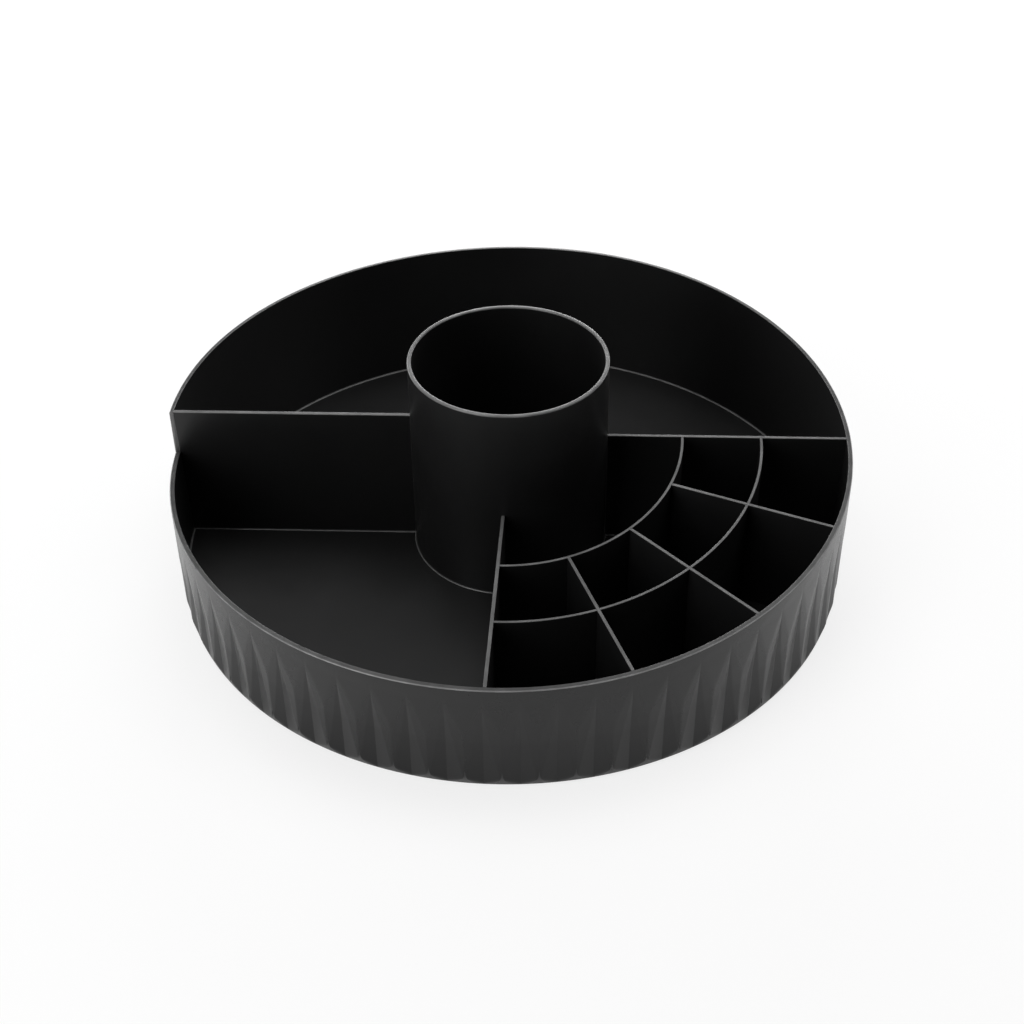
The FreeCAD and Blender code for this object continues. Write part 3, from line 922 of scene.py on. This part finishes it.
def radial_outline(azimuth):
    """A radial wall from the inner arc to the rim, notched from below over the outer arc, and the
    crown of its top edge."""
    dividers = sizes("dividers")
    gap = dividers.clearance
    half = dividers.arc_thickness / 2 + gap
    foot, height, lap = box_bottom("left_divider"), rim_height(azimuth), lap_height()
    start, arc = dividers.inner_arc + half, dividers.outer_arc
    highlit_from = height - dividers.top_fillet - HIGHLIGHT_BAND
    board = [(start, foot), (arc - half, foot), (arc - half, lap), (arc + half, lap),
             (arc + half, foot), (wall_inside(foot) - gap, foot),
             (wall_inside(highlit_from) - gap, highlit_from), (start, highlit_from)]
    return board, [(wall_inside(height) - gap, height), (start, height)]


def arc_wall(radius, notched):
    """A curved wall between the right and the front divider, its top following the ramp."""
    dividers = sizes("dividers")
    foot, lap = box_bottom("left_divider"), lap_height()
    half = dividers.arc_thickness / 2
    spacing, apart = 1.5, 0.3    # degrees between stations, and at least beside a notch
    margin = math.degrees((dividers.thickness / 2 + dividers.clearance) / radius)
    notch = math.degrees((dividers.radial_thickness / 2 + dividers.clearance) / radius)
    start, end = dividers.front + margin, dividers.right - margin
    count = round((end - start) / spacing)
    stations = {start + (end - start) * k / count for k in range(count + 1)}
    notches = [(a - notch, a + notch) for a in radial_walls().values()] if notched else []
    for low, high in notches:
        clear = {s for s in stations if not low - apart < s < high + apart}
        stations = clear | {low, high}
    draft = MeshDraft()
    chains = []
    stations = sorted(stations)
    for azimuth in stations:
        height = rim_height(azimuth)
        highlit_from = height - dividers.top_fillet - HIGHLIGHT_BAND
        places = [(radius - half, foot), (radius + half, foot), (radius + half, lap),
                  (radius + half, highlit_from), (radius + half, height), (radius - half, height),
                  (radius - half, highlit_from), (radius - half, lap)]
        # painted highlight along the top of the curved wall
        chains.append([draft.vertex(point(r, azimuth, z), 1.0 if z > highlit_from else 0.0)
                       for r, z in places])
    standing = [not any(low - TINY < (a + b) / 2 < high + TINY for low, high in notches)
                for a, b in zip(stations, stations[1:])]
    for near, far, whole in zip(chains, chains[1:], standing):
        # A notch leaves only what is under the lap.
        shape = [7, 0, 1, 2, 3, 4, 5, 6, 7] if whole else [7, 0, 1, 2, 7]
        draft.strip([far[i] for i in shape], [near[i] for i in shape])
    draft.face(chains[0])
    for chain, before, after in zip(chains[1:-1], standing, standing[1:]):
        if before != after:
            draft.face(chain[2:][:: 1 if after else -1])
    draft.face(chains[-1][::-1])
    return draft


class ORGANIZER_OT_compartments(bpy.types.Operator):
    """Build the curved and radial walls of the small compartments"""
    bl_idname = "organizer.compartments"
    bl_label = "Compartment Walls"

    def execute(self, context):
        finish, dividers = sizes("finish"), sizes("dividers")
        material = moulded_plastic("compartment black", finish.divider, finish.painted_highlight).material
        bevel = dividers.top_fillet
        for node, azimuth in radial_walls().items():
            draft = MeshDraft()
            board, crown = radial_outline(azimuth)
            draft.prism(board, dividers.radial_thickness, azimuth, crown)
            finish_piece(node.replace("wall", "board"), draft, "tray", [node],
                         material, bevel)
        arcs = (("inner_arc_wall", dividers.inner_arc, False),
                ("outer_arc_wall", dividers.outer_arc, True))
        for node, radius, notched in arcs:
            draft = arc_wall(radius, notched)
            finish_piece(node.replace("wall", "band"), draft, "tray", [node],
                         material, bevel)
        return {'FINISHED'}


class ORGANIZER_OT_turntable(bpy.types.Operator):
    """Finish the base disc, the ball race and the pivot"""
    bl_idname = "organizer.turntable"
    bl_label = "Turntable"

    def execute(self, context):
        finish = sizes("finish")
        steel = turned_steel("race steel", finish.steel, 0.28, 2400.0)
        polished = turned_steel("ball steel", toned(finish.steel, 1.25), 0.08, 300.0)
        zinc = turned_steel("zinc plate", finish.zinc, 0.3, 900.0)
        nylon = natural_nylon("natural nylon", finish.nylon)
        base = moulded_plastic("base black", finish.base, finish.painted_highlight, 0.55, 1.6).material
        finishes = {"upper_race": steel, "lower_race": steel, "pivot_pin": steel,
                    "bearing_balls": polished, "retaining_washer": zinc, "retaining_screw": zinc,
                    "ball_cage": nylon, "hub_bush": nylon, "base_disc": base}
        for node, material in finishes.items():
            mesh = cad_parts[node].data
            mesh.materials.clear()
            mesh.materials.append(material)
        return {'FINISHED'}


class ORGANIZER_OT_feet(bpy.types.Operator):
    """Build the ribbed rubber feet"""
    bl_idname = "organizer.feet"
    bl_label = "Rubber Feet"

    def execute(self, context):
        feet = sizes("feet")
        material = foot_rubber("foot rubber", sizes("finish").rubber)
        reach, top = box_reach("rubber_feet"), box_top("rubber_feet")
        radius, edge, side = feet.radius, feet.edge, feet.groove / 3
        profile = [(0.0, top), (radius, top), (radius, edge), (radius - edge, 0.0)]
        for groove in (1, 2, 3):
            outer = radius - groove * feet.pitch
            profile += [(outer, 0.0), (outer - side, edge), (outer - 2 * side, edge),
                        (outer - 3 * side, 0.0)]
        profile += [(0.0, 0.0)]
        for k in range(feet.count):
            draft = MeshDraft()
            draft.spin(profile, segments=64)
            centre = point(reach - radius, 360.0 / feet.count * k, 0.0)
            draft.vertices = [v + centre for v in draft.vertices]
            replaced = ["rubber_feet"] if k == 0 else []
            finish_piece("foot_%d" % (k + 1), draft, "base", replaced, material)
        return {'FINISHED'}


class ORGANIZER_OT_stage(bpy.types.Operator):
    """Build the pale floor, the soft studio light and the camera"""
    bl_idname = "organizer.stage"
    bl_label = "Stage"

    def execute(self, context):
        self.floor()
        self.lights()
        self.world()
        self.camera()
        context.scene.view_settings.view_transform = 'Standard'
        return {'FINISHED'}

    def floor(self):
        """A wide flat sheet, a hair below the feet."""
        light = sizes("light")
        reach, below = 6.0, -0.02 * MM
        corners = [(-reach, -reach, below), (reach, -reach, below), (reach, reach, below),
                   (-reach, reach, below)]
        mesh = bpy.data.meshes.new("floor")
        mesh.from_pydata(corners, [], [(0, 1, 2, 3)])
        floor = bpy.data.objects.new("floor", mesh)
        bpy.context.scene.collection.objects.link(floor)
        mesh.materials.append(white_sheet("white sheet", sizes("finish").floor, light.floor_seen,
                                          light.floor_mirrored))

    def lights(self):
        """Square softboxes on a dome round the tray, each with its azimuth, height angle and power."""
        boxes = (("back light", 90.0, 12.0, 14.5), ("back right light", 45.0, 12.0, 6.5),
                 ("back left light", 135.0, 12.0, 8.5), ("left front light", 225.0, 12.0, 7.5),
                 ("left key light", 225.0, 38.0, 6.0), ("right light", 0.0, 38.0, 3.5),
                 ("upper right light", 45.0, 66.0, 6.0), ("upper left light", 135.0, 66.0, 5.0),
                 ("top light", 90.0, 90.0, 4.5))
        dome = sizes("light")
        aim = Vector((0, 0, dome.aim))
        for name, azimuth, height_angle, power in boxes:
            light = bpy.data.lights.new(name, 'AREA')
            light.size = dome.softbox
            light.energy = power
            rise = math.radians(height_angle)
            lamp = bpy.data.objects.new(name, light)
            lamp.location = aim + point(dome.distance * math.cos(rise), azimuth,
                                        dome.distance * math.sin(rise))
            lamp.rotation_mode = 'QUATERNION'
            lamp.rotation_quaternion = (aim - lamp.location).to_track_quat('-Z', 'Y')
            lamp.visible_camera = False
            bpy.context.scene.collection.objects.link(lamp)

    def world(self):
        """A dark room that the camera sees as white, and reflections as a dim glow."""
        light = sizes("light")
        world = bpy.data.worlds.new("studio")
        bpy.context.scene.world = world
        world.use_nodes = True
        nodes = Nodes(world.node_tree)
        background = nodes.tree.nodes["Background"]
        background.inputs["Color"].default_value = (1.0, 1.0, 1.0, 1.0)
        strength = nodes.maths('MAXIMUM', nodes.shown(1.0, light.room_mirrored), light.room)
        nodes.link(strength, background.inputs["Strength"])

    def camera(self):
        view = sizes("view")
        data = bpy.data.cameras.new("camera")
        data.lens = view.lens
        data.sensor_width = 36.0
        data.clip_start, data.clip_end = 0.01, 50.0
        camera = bpy.data.objects.new("camera", data)
        heading = Matrix.Rotation(math.radians(view.heading), 4, 'Z')
        pitch = Matrix.Rotation(math.radians(90.0 - view.pitch), 4, 'X')
        roll = Matrix.Rotation(math.radians(view.roll), 4, 'Z')
        camera.matrix_world = Matrix.Translation(view.position) @ heading @ pitch @ roll
        bpy.context.scene.collection.objects.link(camera)
        bpy.context.scene.camera = camera


class ORGANIZER_PT_panel(bpy.types.Panel):
    """Lists the sizes, the colours and the pieces"""
    bl_idname = "ORGANIZER_PT_panel"
    bl_label = "Makeup Organizer"
    bl_space_type = 'VIEW_3D'
    bl_region_type = 'UI'
    bl_category = "Organizer"

    def draw(self, context):
        for operator in OPERATORS:
            self.layout.operator(operator.bl_idname)
        for group in GROUPS:
            box = self.layout.box()
            box.label(text=group.title())
            settings = sizes(group)
            for name in settings.__annotations__:
                box.prop(settings, name)


GROUPS = {"tray": OrganizerTraySizes, "flutes": OrganizerFluteSizes, "cup": OrganizerCupSizes,
          "dividers": OrganizerDividerSizes, "feet": OrganizerFeetSizes, "finish": OrganizerFinish,
          "light": OrganizerLight, "view": OrganizerView}
OPERATORS = (ORGANIZER_OT_tray_shell, ORGANIZER_OT_centre_cup, ORGANIZER_OT_dividers,
             ORGANIZER_OT_compartments, ORGANIZER_OT_turntable, ORGANIZER_OT_feet,
             ORGANIZER_OT_stage)


def register():
    for name, group in GROUPS.items():
        bpy.utils.register_class(group)
        setattr(bpy.types.Scene, "organizer_" + name, PointerProperty(type=group))
    for operator in OPERATORS:
        bpy.utils.register_class(operator)
    bpy.utils.register_class(ORGANIZER_PT_panel)


def unregister():
    bpy.utils.unregister_class(ORGANIZER_PT_panel)
    for operator in reversed(OPERATORS):
        bpy.utils.unregister_class(operator)
    for name, group in reversed(GROUPS.items()):
        delattr(bpy.types.Scene, "organizer_" + name)
        bpy.utils.unregister_class(group)


def main():
    register()
    for operator in OPERATORS:
        area, word = operator.bl_idname.split(".")
        getattr(getattr(bpy.ops, area), word)()


if __name__ == "__main__":
    main()
